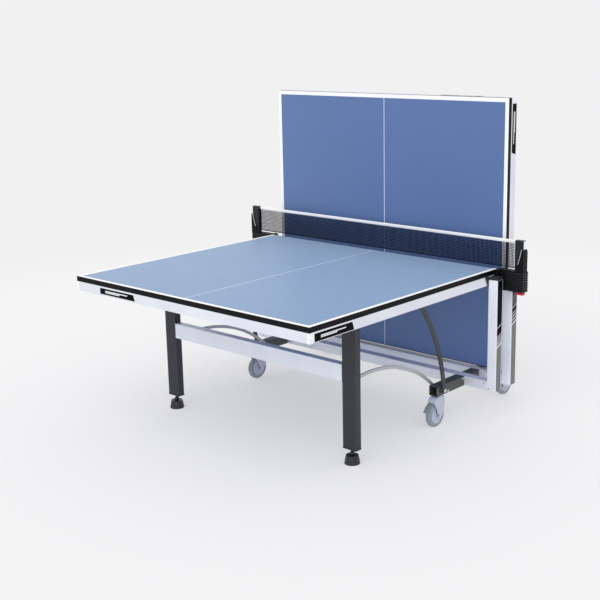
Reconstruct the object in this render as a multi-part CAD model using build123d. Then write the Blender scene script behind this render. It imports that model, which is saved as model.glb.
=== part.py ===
from build123d import *
import os
from math import atan2, cos, degrees, hypot, radians, sin

# Folding table-tennis table on casters, in millimetres.
# +X runs along the table, Z is up, the net stands on the plane X = 0 and the floor is Z = 0.
# The near half (-X) is lowered for play and the far half (+X) stands folded up.
# Each half is drawn lowered on the +X side, where u is the distance from the net plane,
# and is then turned to its own side or folded. "right" is the -Y side and "left" is +Y.

# ---- playing surface ----
court_length = 1370.0     # net plane to the outer end of a half
court_width = 1525.0
surface_height = 760.0
net_gap = 6.5             # net plane to the inner end of a board
board_thick = 25.0
edge_strip = 4.0          # black strip round the board
apron_height = 45.0
apron_thick = 3.0
apron_lip = 18.0          # inward lip along the lower edge of the apron

# ---- under-frame of a half ----
rib_width = 20.0
rib_height = 35.0
rib_wall = 1.5
long_rib_gap = 4.5        # long rib to the hinge flange of the leg
inner_rib_u = 60.0
arm_rib_u = 400.0
outer_rib_end = 120.0     # outermost cross rib from the outer end
stub_rib_end = 260.0      # outer stub rib from the outer end

# ---- fold pivot and carriage ----
folded_face_u = 70.0      # playing surface of a folded half
folded_clearance = 9.0    # folded end above the crossbars
fold_depth = 30.0         # pivot below the playing surface
fold_pin_r = 4.0
fold_bearing_depth = 18.0
fold_pin_short = 2.0      # end of the pin inside its bearing
carriage_height = 60.0
carriage_below = 20.0     # top of the sliding block below the fold pivot
carriage_plate = 4.0
carriage_side_gap = 1.5   # plate to the side of the half
slot_width = 14.0
slot_side_gap = 0.2
block_gap = 0.3

# ---- columns and chassis ----
column_size = 50.0
column_wall = 2.5
column_u = 67.0
column_side_gap = 7.5     # side of the half to the column
column_lift = 3.0         # column above the underside of the crossbar
column_cap_height = 13.0
column_cap_edge = 3.0
chassis_tube = 50.0       # square tube of crossbars and side beams
chassis_wall = 2.5
beam_inset = 152.5        # centre of the side beam from the side of the half
beam_past_swivel = 37.0   # end of the side beam past the swivel and past the link pivot, at least
beam_past_link = 30.0

# ---- legs ----
leg_u = 922.0
leg_past_beam = 1.0       # outer face of the leg past that of the side beam
leg_width = 78.0
leg_depth = 40.0
leg_wall = 3.0
leg_corner_r = 5.0
leg_bottom = 70.0
leg_cap_height = 6.0
leg_cap_proud = 1.0
leg_plug_height = 14.0    # plug of the cap inside the leg
leg_plug_gap = 0.2
leg_hole_r = 3.5          # holes in the outer face
leg_hole_lift = 19.0      # lower hole above the end of the leg
leg_hinge_depth = 62.0    # hinge below the playing surface
leg_top_above_hinge = 24.0
leg_hinge_r = 6.0
leg_fold_angle = 84.0
flute_r = 4.0
flute_depth = 1.6
flute_pitch = 12.0
leg_bar_bottom = 385.0
leg_bar_height = 77.0
leg_bar_wall = 2.0
hinge_cheek = 4.0
hinge_flange = 22.0
hinge_reach = 25.0
cheek_gap = 2.5

# ---- feet ----
foot_pad_r = 36.0
foot_pad_height = 6.0
foot_cone_height = 34.0
foot_neck_r = 29.0
foot_ball_r = 12.0
foot_ball_lift = 7.0      # centre of the ball above the cone
foot_stem_r = 6.0
foot_stem_in = 45.0       # stem length inside the leg
foot_travel = 15.0

# ---- arms and links ----
arm_pivot_u = 280.0
arm_pivot_rise = 26.0     # above the underside of the side beam
arm_end_depth = 80.0      # upper pivot below the playing surface
arm_width = 22.0
arm_thick = 10.0
arm_rise = 44.0           # bow of the arm
arm_eye_r = 14.0
arm_side_gap = 5.0        # beam to arm
arm_pin_r = 6.0
link_pivot_rise = 33.0    # above the underside of the side beam
link_end_u = 882.0
link_end_drop = 320.0     # upper pivot below the leg hinge
link_width = 16.0
link_eye_r = 10.0
link_thick = 8.0
link_rise = 76.0
link_side_gap = 3.0
link_pin_r = 4.0
face_gap = 0.3            # between flat faces that pass each other
pin_gap = 0.05            # radial running clearance

# ---- casters ----
wheel_r = 62.5
wheel_width = 28.4
tyre_width = 26.0
tyre_corner_r = 6.0
tyre_depth = 16.5
hub_boss_r = 14.0
hub_dish = 3.0
axle_r = 5.0
swivel_u = 283.0
caster_offset = 5.0       # swivel outside the centre of the side beam
caster_trail = 30.0
fork_cheek = 4.5
fork_crown_gap = 7.0      # crown above the tyre
fork_crown = 14.0
fork_collar = 11.0        # collar between crown and side beam
fork_collar_r = 22.0
fork_front = 26.0         # hood past the swivel axis, inwards
fork_tail = 24.0          # hood past the axle, outwards
fork_hood_depth = 54.0
fork_eye_r = 16.0
swivel_stem_r = 8.0
swivel_stem_in = 30.0
pedal_hinge_u = 18.0      # from the wheel centre, outwards
pedal_hinge_rise = 7.5    # above the top of the tyre
pedal_hinge_r = 3.0
pedal_gap = 2.0           # pressed pedal to the tyre
pedal_low_angle = 12.0
pedal_travel = 12.0
pedal_thick = 6.0

# ---- net ----
net_height = 152.5
net_clearance = 8.0       # playing surface to the net
net_overhang = 151.5      # net past the side of the table
net_thick = 1.6
tape_height = 15.0
tape_thick = 5.0
post_width = 48.0
post_front = 18.0
post_back = 8.0
post_above_net = 2.5
housing_into_columns = 16.0  # inner end past the inner face of the columns
housing_past_post = 5.0
housing_above_board = 2.0
housing_height = 100.0
housing_half_depth = 22.0
housing_rib_pitch = 12.0
housing_groove = 4.0
housing_groove_depth = 1.5
wing_height = 45.0        # wings of the housing, between the columns
post_corner_r = 4.0
socket_wall = 6.0
socket_height = 110.0     # above the housing
socket_front_height = 38.0
button_side = 8.0         # button from the inner face of the post
button_end = 2.0          # button from the outer face of the post
button_half_depth = 11.0
button_out = 7.0          # button below the housing
button_in = 14.0
button_travel = 5.0
button_edge_r = 2.0

# ---- fasteners ----
bolt_head_r = 7.0
bolt_head = 4.0
pivot_head_extra = 4.0    # radius of a pivot head past its pin
hinge_head = 5.0
screw_head_r = 4.0
screw_head = 2.0
beam_bolt_side = 15.0     # inner beam bolt from the crossbar
beam_bolt_before = 45.0   # outer beam bolt before the arm pivot
beam_bolt_edge = 10.0     # beam bolts from the edge of the beam
crossbar_screw_side = 13.0
crossbar_screw_edge = 12.0
column_screw_side = 13.0
column_screw_lift = 10.0

# ---- worked out ----
half_width = court_width / 2
board_bottom = surface_height - board_thick
apron_bottom = board_bottom - apron_height
web_y = half_width - apron_thick
outer_rib_u = court_length - outer_rib_end
stub_rib_u = court_length - stub_rib_end
wheel_u = swivel_u + caster_trail
fork_crown_bottom = 2 * wheel_r + fork_crown_gap
fork_crown_top = fork_crown_bottom + fork_crown
pedal_hinge_z = wheel_r + pedal_hinge_rise
hub_r = wheel_r - tyre_depth
chassis_bottom = fork_crown_top + fork_collar
chassis_top = chassis_bottom + chassis_tube
crossbar_inner_u = column_u - chassis_tube / 2
crossbar_outer_u = column_u + chassis_tube / 2
column_inner_u = column_u - column_size / 2
column_outer_u = column_u + column_size / 2
column_inner_y = half_width + column_side_gap
column_mid_y = column_inner_y + column_size / 2
column_bottom = chassis_bottom + column_lift
column_top = board_bottom - column_cap_height
beam_y = half_width - beam_inset
beam_outer_y = beam_y + chassis_tube / 2
beam_inner_y = beam_y - chassis_tube / 2
caster_y = beam_y + caster_offset
arm_pivot_z = chassis_bottom + arm_pivot_rise
link_pivot_z = chassis_bottom + link_pivot_rise
leg_y = beam_outer_y + leg_past_beam - leg_width / 2
hinge_inner_y = leg_y - leg_width / 2 - cheek_gap - hinge_cheek - hinge_flange
long_rib_y = hinge_inner_y - long_rib_gap - rib_width / 2
net_top = surface_height + net_height
net_bottom = surface_height + net_clearance
post_outer_y = half_width + net_overhang
post_inner_y = post_outer_y - post_width
post_top = net_top + post_above_net
housing_inner_y = column_inner_y + housing_into_columns
housing_outer_y = post_outer_y + housing_past_post
housing_top = surface_height + housing_above_board
housing_bottom = housing_top - housing_height
socket_top = housing_top + socket_height
socket_front_top = housing_top + socket_front_height
button_inner_y = post_inner_y + button_side
button_outer_y = post_outer_y - button_end
fold_u = folded_face_u + fold_depth
fold_z = surface_height - fold_depth
folded_fold_z = chassis_top + folded_clearance + fold_u - net_gap
fold_drop = fold_z - folded_fold_z
leg_hinge_z = surface_height - leg_hinge_depth
link_end_z = leg_hinge_z - link_end_drop
pedal_high_angle = degrees(atan2(pedal_hinge_z, pedal_hinge_u))


def turned(u, z, centre_u, centre_z, angle):
    """Point (u, z) turned about a centre, from u towards z, by degrees."""
    c, s = cos(radians(angle)), sin(radians(angle))
    du, dz = u - centre_u, z - centre_z
    return centre_u + du * c - dz * s, centre_z + du * s + dz * c


def folded_point(u, z):
    """Where a point of the lowered half goes when the half stands folded."""
    u, z = turned(u, z, fold_u, fold_z, 90)
    return u, z - fold_drop


def leg_folded_point(u, z):
    """Where a point of the lowered leg frame goes when it folds with its half."""
    return folded_point(*turned(u, z, leg_u, leg_hinge_z, -leg_fold_angle))


# The lower pivot of the link is as far from both places of its upper end.
link_far_u, link_far_z = leg_folded_point(link_end_u, link_end_z)
link_pivot_u = (link_end_u**2 - link_far_u**2 + link_end_z**2 - link_far_z**2
                + 2 * link_pivot_z * (link_far_z - link_end_z)) / (2 * (link_end_u - link_far_u))
beam_end_u = max(swivel_u + beam_past_swivel, link_pivot_u + beam_past_link)
link_low = degrees(atan2(link_end_z - link_pivot_z, link_end_u - link_pivot_u))
link_high = degrees(atan2(link_far_z - link_pivot_z, link_far_u - link_pivot_u))

# The upper end of the arm is as far from the lower pivot with the half lowered and folded.
arm_below_fold = arm_end_depth - fold_depth
pivot_du = fold_u - arm_pivot_u
pivot_dz = fold_z - arm_pivot_z
folded_dz = folded_fold_z - arm_pivot_z
arm_end_u = fold_u + (2 * arm_below_fold * (pivot_du + pivot_dz)
                      + folded_dz**2 - pivot_dz**2) / (2 * (pivot_du - folded_dz))
arm_end_z = surface_height - arm_end_depth
arm_far_u, arm_far_z = folded_point(arm_end_u, arm_end_z)
arm_low = degrees(atan2(arm_end_z - arm_pivot_z, arm_end_u - arm_pivot_u))
arm_high = degrees(atan2(arm_far_z - arm_pivot_z, arm_far_u - arm_pivot_u))

sides = {"right": -1, "left": 1}
nodes = {}


# ---- helpers ----
def block(u0, u1, y0, y1, z0, z1):
    """Box between opposite corners."""
    centre = Pos((u0 + u1) / 2, (y0 + y1) / 2, (z0 + z1) / 2)
    return centre * Box(abs(u1 - u0), abs(y1 - y0), abs(z1 - z0))


def rod_y(u, z, radius, y0, y1):
    """Round rod across the table."""
    return Pos(u, (y0 + y1) / 2, z) * Rot(90, 0, 0) * Cylinder(radius, abs(y1 - y0))


def rod_z(u, y, radius, z0, z1):
    """Upright round rod."""
    return Pos(u, y, (z0 + z1) / 2) * Cylinder(radius, z1 - z0)


def plate_y(outline, y0, y1):
    """Outline drawn in (u, z), made solid between two places across the table."""
    low, high = min(y0, y1), max(y0, y1)
    return Pos(0, high, 0) * extrude(Plane.XZ * outline, amount=high - low)


def tube(u0, u1, y0, y1, z0, z1, wall, along):
    """Square tube, open at both ends along "u" or "y"."""
    low = [min(u0, u1), min(y0, y1), z0]
    high = [max(u0, u1), max(y0, y1), z1]
    open_axis = {"u": 0, "y": 1}[along]
    outer = block(low[0], high[0], low[1], high[1], low[2], high[2])
    for axis in range(3):
        inset = -1 if axis == open_axis else wall
        low[axis] += inset
        high[axis] -= inset
    return outer - block(low[0], high[0], low[1], high[1], low[2], high[2])


def polygon(*points):
    """Closed outline with straight sides."""
    return make_face(Polyline(*points, close=True))


def curved_bar(start, end, rise, width, eye_r, y0, y1):
    """Flat bar bowed to the left of its line, with a round eye at its start."""
    run_u, run_z = end[0] - start[0], end[1] - start[1]
    run = hypot(run_u, run_z)
    middle = ((start[0] + end[0]) / 2 - run_z / run * rise, (start[1] + end[1]) / 2 + run_u / run * rise)
    bar = plate_y(SlotArc(ThreePointArc(start, middle, end), width), y0, y1)
    return bar + rod_y(start[0], start[1], eye_r, y0, y1)


def turn_y(piece, u, z, angle):
    """Piece turned about an axis across the table, from u towards z."""
    return piece.rotate(Axis((u, 0, z), (0, 1, 0)), -angle)


def fold_with_half(piece):
    return Pos(0, 0, -fold_drop) * turn_y(piece, fold_u, fold_z, 90)


def fold_with_leg(piece):
    return fold_with_half(turn_y(piece, leg_u, leg_hinge_z, -leg_fold_angle))


def add(name, *pieces):
    """Register one node made of separate solids."""
    nodes[name] = [solid for piece in pieces for solid in piece.solids()]


# ---- one half, drawn lowered on the +X side ----
def board():
    return block(net_gap + edge_strip, court_length - edge_strip,
                 -half_width + edge_strip, half_width - edge_strip, board_bottom, surface_height)


def edge_frame():
    inner_y = half_width - edge_strip
    long_strips = [block(net_gap, court_length, side * inner_y, side * half_width, board_bottom, surface_height)
                   for side in (-1, 1)]
    end_strips = [block(u, u + edge_strip, -inner_y, inner_y, board_bottom, surface_height)
                  for u in (net_gap, court_length - edge_strip)]
    return long_strips + end_strips


def apron():
    """Four rails with an inward lower lip; the side rails let the fold pins through."""
    lip_y = half_width - apron_lip
    lip_top = apron_bottom + apron_thick
    rails = []
    for side in (-1, 1):
        rail = block(net_gap, court_length, side * web_y, side * half_width, apron_bottom, board_bottom)
        rail += block(net_gap + apron_thick, court_length - apron_thick, side * lip_y, side * half_width,
                      apron_bottom, lip_top)
        rails.append(rail - rod_y(fold_u, fold_z, fold_pin_r + face_gap, side * lip_y, side * half_width))
    for u, inward in ((net_gap, 1), (court_length, -1)):
        rail = block(u, u + inward * apron_thick, -web_y, web_y, apron_bottom, board_bottom)
        rails.append(rail + block(u, u + inward * apron_lip, -lip_y, lip_y, apron_bottom, lip_top))
    return rails


def ribs():
    """Square tubes under the board: two long, four across and four stubs to the side rails."""
    low, high = board_bottom - rib_height, board_bottom
    half = rib_width / 2
    inner_y, outer_y = long_rib_y - half, long_rib_y + half
    pieces = [tube(net_gap + apron_thick, court_length - apron_thick, side * inner_y, side * outer_y,
                   low, high, rib_wall, "u") for side in (-1, 1)]
    for u in (inner_rib_u, arm_rib_u, leg_u, outer_rib_u):
        pieces.append(tube(u - half, u + half, -inner_y, inner_y, low, high, rib_wall, "y"))
    for u in (inner_rib_u, stub_rib_u):
        for side in (-1, 1):
            pieces.append(tube(u - half, u + half, side * outer_y, side * web_y, low, high, rib_wall, "y"))
    return pieces


def fold_bearing(side):
    """Bearing block of the fold pin, behind the side rail."""
    half_length, height = 18.0, 35.0
    inner = web_y - fold_bearing_depth
    body = block(fold_u - half_length, fold_u + half_length, side * inner, side * web_y,
                 board_bottom - height, board_bottom)
    return body - rod_y(fold_u, fold_z, fold_pin_r + pin_gap, side * inner, side * web_y)


def hinge_cheeks(side):
    """Two cheeks that hold the leg between them, with a foot flange each and one bolt."""
    reach = hinge_reach
    pieces = []
    for outward in (-1, 1):
        face = leg_y + outward * (leg_width / 2 + cheek_gap)
        back = face + outward * hinge_cheek
        cheek = block(leg_u - reach, leg_u + reach, side * face, side * back, leg_hinge_z, board_bottom)
        cheek += rod_y(leg_u, leg_hinge_z, reach, side * face, side * back)
        cheek += block(leg_u - reach, leg_u + reach, side * face, side * (back + outward * hinge_flange),
                       board_bottom - hinge_cheek, board_bottom)
        pieces.append(cheek - rod_y(leg_u, leg_hinge_z, leg_hinge_r, side * face, side * back))
    outer = leg_width / 2 + cheek_gap + hinge_cheek
    end = outer + hinge_head
    bolt = rod_y(leg_u, leg_hinge_z, leg_hinge_r, side * (leg_y - end), side * (leg_y + end))
    for outward in (-1, 1):
        bolt += rod_y(leg_u, leg_hinge_z, leg_hinge_r + pivot_head_extra,
                      side * (leg_y + outward * outer), side * (leg_y + outward * end))
    return pieces + [bolt]


def arm_bracket(side):
    """Plate outside the upper end of the arm, with a foot flange and a bolt head."""
    reach, eye_r = 20.0, 12.0
    inner = beam_outer_y + arm_side_gap + arm_thick + face_gap
    outer = inner + hinge_cheek
    outline = polygon((arm_end_u - reach, board_bottom), (arm_end_u + reach, board_bottom),
                      (arm_end_u + eye_r, arm_end_z), (arm_end_u - eye_r, arm_end_z))
    plate = plate_y(outline, side * inner, side * outer)
    plate += rod_y(arm_end_u, arm_end_z, eye_r, side * inner, side * outer)
    plate += block(arm_end_u - reach, arm_end_u + reach, side * inner, side * (outer + hinge_flange),
                   board_bottom - hinge_cheek, board_bottom)
    head = rod_y(arm_end_u, arm_end_z, bolt_head_r, side * outer, side * (outer + bolt_head))
    return [plate, head]


def leg(side):
    """Fluted hollow leg with the hinge hole, two small holes, and the lug that the link meets."""
    outline = RectangleRounded(leg_depth, leg_width, leg_corner_r)
    flutes = [offset * flute_pitch for offset in range(-2, 3)]
    for face in (-1, 1):
        for across in flutes:
            centre = face * (leg_depth / 2 + flute_r - flute_depth)
            outline -= Pos(centre, across) * Circle(flute_r)
    outline -= Rectangle(leg_depth - 2 * leg_wall, leg_width - 2 * leg_wall)
    low = leg_bottom + leg_cap_height
    body = Pos(leg_u, side * leg_y, low) * extrude(outline, amount=leg_hinge_z + leg_top_above_hinge - low)
    inner, outer = side * (leg_y - leg_width / 2 - 1), side * (leg_y + leg_width / 2 + 1)
    body -= rod_y(leg_u, leg_hinge_z, leg_hinge_r + pin_gap, inner, outer)
    for z in (leg_bottom + leg_hole_lift, leg_bar_bottom + leg_bar_height / 2):
        body -= rod_y(leg_u, z, leg_hole_r, side * leg_y, outer)
    lug_y = beam_inner_y - link_side_gap + face_gap
    lug = block(link_end_u, leg_u - leg_depth / 2 + leg_wall / 2, side * lug_y, side * (lug_y + hinge_cheek),
                link_end_z - link_width / 2, link_end_z + link_width / 2)
    lug += rod_y(link_end_u, link_end_z, link_width / 2, side * lug_y, side * (lug_y + hinge_cheek))
    return body + lug


def leg_bar():
    inner_y = leg_y - leg_width / 2
    return tube(leg_u - leg_depth / 2, leg_u + leg_depth / 2, -inner_y, inner_y,
                leg_bar_bottom, leg_bar_bottom + leg_bar_height, leg_bar_wall, "y")


def leg_cap(side):
    """End plate a little proud of the leg, with a plug inside it, bored for the stem of the foot."""
    rim = 2 * leg_cap_proud
    inset = 2 * (leg_wall + leg_plug_gap)
    body = extrude(RectangleRounded(leg_depth + rim, leg_width + rim, leg_corner_r + leg_cap_proud),
                   amount=leg_cap_height)
    body += extrude(Rectangle(leg_depth - inset, leg_width - inset), amount=leg_cap_height + leg_plug_height)
    body -= rod_z(0, 0, foot_stem_r + pin_gap, -1, leg_cap_height + leg_plug_height + 1)
    return Pos(leg_u, side * leg_y, leg_bottom) * body


def foot(side):
    """Levelling foot: conical pad, ball neck and threaded stem."""
    cone_top = foot_pad_height + foot_cone_height
    ball_z = cone_top + foot_ball_lift
    body = Cylinder(foot_pad_r, foot_pad_height, align=(Align.CENTER, Align.CENTER, Align.MIN))
    body += Pos(0, 0, foot_pad_height) * Cone(foot_pad_r, foot_neck_r, foot_cone_height,
                                              align=(Align.CENTER, Align.CENTER, Align.MIN))
    body += Pos(0, 0, ball_z) * Sphere(foot_ball_r)
    body += rod_z(0, 0, foot_stem_r, ball_z, leg_bottom + foot_stem_in)
    return Pos(leg_u, side * leg_y, 0) * body


def arm(side):
    inner = beam_outer_y + arm_side_gap
    bar = curved_bar((arm_pivot_u, arm_pivot_z), (arm_end_u, arm_end_z), arm_rise, arm_width,
                     arm_eye_r, side * inner, side * (inner + arm_thick))
    return bar - rod_y(arm_pivot_u, arm_pivot_z, arm_pin_r + pin_gap, side * inner, side * (inner + arm_thick))


def link(side):
    outer = beam_inner_y - link_side_gap
    inner = outer - link_thick
    bar = curved_bar((link_pivot_u, link_pivot_z), (link_end_u, link_end_z), link_rise, link_width,
                     link_eye_r, side * inner, side * outer)
    return bar - rod_y(link_pivot_u, link_pivot_z, link_pin_r + pin_gap, side * inner, side * outer)


def carriage(side):
    """Block that slides in the column, its neck through the slot, and the plate with the fold pin."""
    top = fold_z - carriage_below
    low = top - carriage_height
    half = column_size / 2 - column_wall - block_gap
    near_y = column_inner_y + column_wall + block_gap
    far_y = column_inner_y + column_size - column_wall - block_gap
    plate_y0 = half_width + carriage_side_gap
    body = block(column_u - half, column_u + half, side * near_y, side * far_y, low, top)
    neck = slot_width / 2 - slot_side_gap
    body += block(column_u - neck, column_u + neck, side * plate_y0, side * near_y, low, top)
    eye_r = 12.0
    outline = polygon((column_u - neck, low), (column_u + neck, low), (fold_u + eye_r, fold_z),
                      (fold_u - eye_r, fold_z), (column_u - neck, top))
    body += plate_y(outline, side * plate_y0, side * (plate_y0 + carriage_plate))
    body += rod_y(fold_u, fold_z, eye_r, side * plate_y0, side * (plate_y0 + carriage_plate))
    pin_end = web_y - fold_bearing_depth + fold_pin_short
    return body + rod_y(fold_u, fold_z, fold_pin_r, side * pin_end, side * plate_y0)


# ---- chassis ----
def crossbar(direction):
    return tube(direction * crossbar_inner_u, direction * crossbar_outer_u, -column_inner_y, column_inner_y,
                chassis_bottom, chassis_top, chassis_wall, "y")


def side_beam(side):
    """Three lengths of square tube, butted against the crossbars."""
    y0, y1 = side * beam_inner_y, side * beam_outer_y
    pieces = [tube(-crossbar_inner_u, crossbar_inner_u, y0, y1, chassis_bottom, chassis_top, chassis_wall, "u")]
    for direction in (-1, 1):
        length = tube(direction * crossbar_outer_u, direction * beam_end_u, y0, y1,
                      chassis_bottom, chassis_top, chassis_wall, "u")
        pieces.append(length - rod_z(direction * swivel_u, side * caster_y, swivel_stem_r + pin_gap,
                                     chassis_bottom - 1, chassis_bottom + 2 * chassis_wall))
    return pieces


def column(direction, side):
    """Hollow upright with the slot that the carriage runs in."""
    half = column_size / 2
    outer = Rectangle(column_size, column_size)
    inner = Rectangle(column_size - 2 * column_wall, column_size - 2 * column_wall)
    body = extrude(outer - inner, amount=column_top - column_bottom)
    body = Pos(direction * column_u, side * column_mid_y, column_bottom) * body
    slot_end = 5.0
    slot_low = folded_fold_z - carriage_below - carriage_height - slot_end
    slot_high = fold_z - carriage_below + slot_end
    centre = direction * column_u
    return body - block(centre - slot_width / 2, centre + slot_width / 2,
                        side * (column_inner_y - 1), side * (column_mid_y - half / 2), slot_low, slot_high)


def column_cap(direction, side):
    outline = RectangleRounded(column_size, column_size, column_cap_edge)
    body = extrude(outline, amount=column_cap_height)
    body = chamfer(body.faces().sort_by(Axis.Z)[-1].edges(), column_cap_edge)
    return Pos(direction * column_u, side * column_mid_y, column_top) * body


def pivot_bolt(u, z, radius, seat_y, near_y, far_y):
    """Shouldered bolt that carries a bar between near_y and far_y; seat_y is on the beam."""
    outward = 1 if far_y > near_y else -1
    head_r = radius + pivot_head_extra
    bolt = rod_y(u, z, head_r, seat_y, near_y - outward * face_gap)
    head_y = far_y + outward * face_gap
    bolt += rod_y(u, z, radius, seat_y, head_y + outward * bolt_head)
    return bolt + rod_y(u, z, head_r, head_y, head_y + outward * bolt_head)


def chassis_bolts():
    """Pivot bolts of arms and links, frame bolts of the beams and screws of the columns."""
    pieces = []
    arm_y = beam_outer_y + arm_side_gap
    link_y = beam_inner_y - link_side_gap
    beam_bolts = ((crossbar_outer_u + beam_bolt_side, chassis_top - beam_bolt_edge),
                  (arm_pivot_u - beam_bolt_before, chassis_bottom + beam_bolt_edge))
    screws = ((crossbar_outer_u, column_inner_y - crossbar_screw_side, chassis_top - crossbar_screw_edge),
              (column_outer_u, column_inner_y + column_screw_side, column_bottom + column_screw_lift))
    for direction in (-1, 1):
        for side in (-1, 1):
            pieces.append(pivot_bolt(direction * arm_pivot_u, arm_pivot_z, arm_pin_r, side * beam_outer_y,
                                     side * arm_y, side * (arm_y + arm_thick)))
            pieces.append(pivot_bolt(direction * link_pivot_u, link_pivot_z, link_pin_r, side * beam_inner_y,
                                     side * link_y, side * (link_y - link_thick)))
            for u, z in beam_bolts:
                pieces.append(rod_y(direction * u, z, bolt_head_r, side * beam_outer_y,
                                    side * (beam_outer_y + bolt_head)))
            for u, y, z in screws:
                screw = Rot(0, 90, 0) * Cylinder(screw_head_r, screw_head)
                pieces.append(Pos(direction * (u + screw_head / 2), side * y, z) * screw)
    return pieces


# ---- casters, drawn at the +X, +Y corner and placed by sign ----
def wheel():
    """Tyre and hub as two solids round the axle, centred on the wheel."""
    tyre_section = RectangleRounded(wheel_r - hub_r, tyre_width, tyre_corner_r)
    tyre = revolve(Pos((wheel_r + hub_r) / 2, 0) * tyre_section, Axis.Y)
    hub = Rot(90, 0, 0) * Cylinder(hub_r, tyre_width - 2 * hub_dish)
    hub += Rot(90, 0, 0) * Cylinder(hub_boss_r, wheel_width)
    hub -= tyre
    return [tyre, hub - Rot(90, 0, 0) * Cylinder(axle_r + pin_gap, 2 * wheel_width)]


def fork():
    """Hooded fork with its swivel stem, centred on the wheel, and the axle."""
    inner = wheel_width / 2 + face_gap
    outer = inner + fork_cheek
    stem_u = -caster_trail
    crown_low, crown_top = fork_crown_bottom - wheel_r, fork_crown_top - wheel_r
    hood = polygon((stem_u - fork_front, crown_top - fork_hood_depth), (stem_u - fork_front, crown_top),
                   (fork_tail, crown_top), (fork_tail, crown_top - fork_hood_depth))
    cheek = make_hull((hood + Circle(fork_eye_r)).edges())
    body = plate_y(cheek, inner, outer) + plate_y(cheek, -outer, -inner)
    body -= rod_y(0, 0, axle_r, -outer, outer)
    body -= rod_y(pedal_hinge_u, pedal_hinge_z, pedal_hinge_r + pin_gap, -outer, outer)
    body += block(stem_u - fork_front, 0, -outer, outer, crown_low, crown_top)
    body += rod_z(stem_u, 0, fork_collar_r, crown_top, chassis_bottom - face_gap - wheel_r)
    body += rod_z(stem_u, 0, swivel_stem_r, crown_top, chassis_bottom + swivel_stem_in - wheel_r)
    axle_head = 3.0
    axle = rod_y(0, 0, axle_r, -outer, outer)
    for end in (-1, 1):
        axle += rod_y(0, 0, axle_r + axle_head, end * outer, end * (outer + axle_head))
    return [body, axle]


def pedal():
    """Brake pedal that follows the tyre when pressed, raised by its travel."""
    inner_r = wheel_r + pedal_gap
    half = tyre_width / 2
    reach = 2 * wheel_r
    ring = Circle(inner_r + pedal_thick) - Circle(inner_r)
    wedge = polygon((0, 0), *[(reach * cos(radians(angle)), reach * sin(radians(angle)))
                              for angle in (pedal_low_angle, pedal_high_angle)])
    lever = plate_y(ring & wedge, -half, half)
    cheek_outer = wheel_width / 2 + face_gap + fork_cheek
    lever += rod_y(pedal_hinge_u, pedal_hinge_z, pedal_hinge_r + pedal_thick / 2, -half, half)
    lever += rod_y(pedal_hinge_u, pedal_hinge_z, pedal_hinge_r, -cheek_outer, cheek_outer)
    return turn_y(lever, pedal_hinge_u, pedal_hinge_z, pedal_travel)


def at_corner(piece, direction, side):
    """Caster piece moved to its corner, trailing outwards."""
    turned_piece = piece if direction > 0 else Rot(0, 0, 180) * piece
    return Pos(direction * wheel_u, side * caster_y, wheel_r) * turned_piece


# ---- net ----
def net_post(side):
    body = block(-post_front, post_back, side * post_inner_y, side * post_outer_y, housing_top, post_top)
    return fillet(body.edges().filter_by(Axis.Z), post_corner_r)


def net_housing(side):
    """Ribbed housing with wings to the columns, the socket of the post and the button pocket."""
    depth = housing_half_depth
    body = block(-depth, depth, side * housing_inner_y, side * housing_outer_y, housing_bottom, housing_top)
    core = depth - housing_groove_depth
    outer_core = housing_outer_y - housing_groove_depth
    groove_start = column_inner_y + column_size
    rows = int((housing_top - housing_bottom) / housing_rib_pitch) - 1
    for row in range(rows):
        low = housing_bottom + (row + 1) * housing_rib_pitch
        ring = block(-depth, depth, side * groove_start, side * housing_outer_y, low, low + housing_groove)
        body -= ring - block(-core, core, side * (groove_start - 1), side * outer_core, low, low + housing_groove)
    body += block(-column_inner_u, column_inner_u, side * housing_inner_y, side * column_mid_y,
                  board_bottom - wing_height, board_bottom)
    front, back = post_front + socket_wall, post_back + socket_wall
    inner_foot_y = post_inner_y + 2 * socket_wall
    neck_y = post_outer_y - 4 * socket_wall
    lip_y = post_outer_y - socket_wall
    socket = Polyline((inner_foot_y, housing_top), (housing_outer_y, housing_top),
                      (housing_outer_y, socket_top - socket_wall), (post_outer_y, socket_top),
                      (lip_y, socket_top), (neck_y, socket_front_top),
                      (inner_foot_y, socket_front_top - socket_wall), close=True)
    sleeve = extrude(Plane.YZ * make_face(socket), amount=front + back)
    sleeve = Pos(-front, 0, 0) * sleeve
    if side < 0:
        sleeve = sleeve.mirror(Plane.XZ)
    sleeve -= block(-post_front, post_back, side * (post_inner_y - 1), side * post_outer_y,
                    housing_top, socket_top + 1)
    body += sleeve
    return body - block(-button_half_depth - face_gap, button_half_depth + face_gap,
                        side * (button_inner_y - face_gap), side * (button_outer_y + face_gap),
                        housing_bottom - 1, housing_bottom + button_in + button_travel + 1)


def release_button(side):
    body = block(-button_half_depth, button_half_depth, side * button_inner_y, side * button_outer_y,
                 housing_bottom - button_out, housing_bottom + button_in)
    return fillet(body.faces().sort_by(Axis.Z)[0].edges(), button_edge_r)


def net_panel():
    top = net_top - tape_height
    return block(-net_thick / 2, net_thick / 2, -post_inner_y, post_inner_y, net_bottom, top)


def net_tape():
    return block(-tape_thick / 2, tape_thick / 2, -post_inner_y, post_inner_y, net_top - tape_height, net_top)


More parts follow.
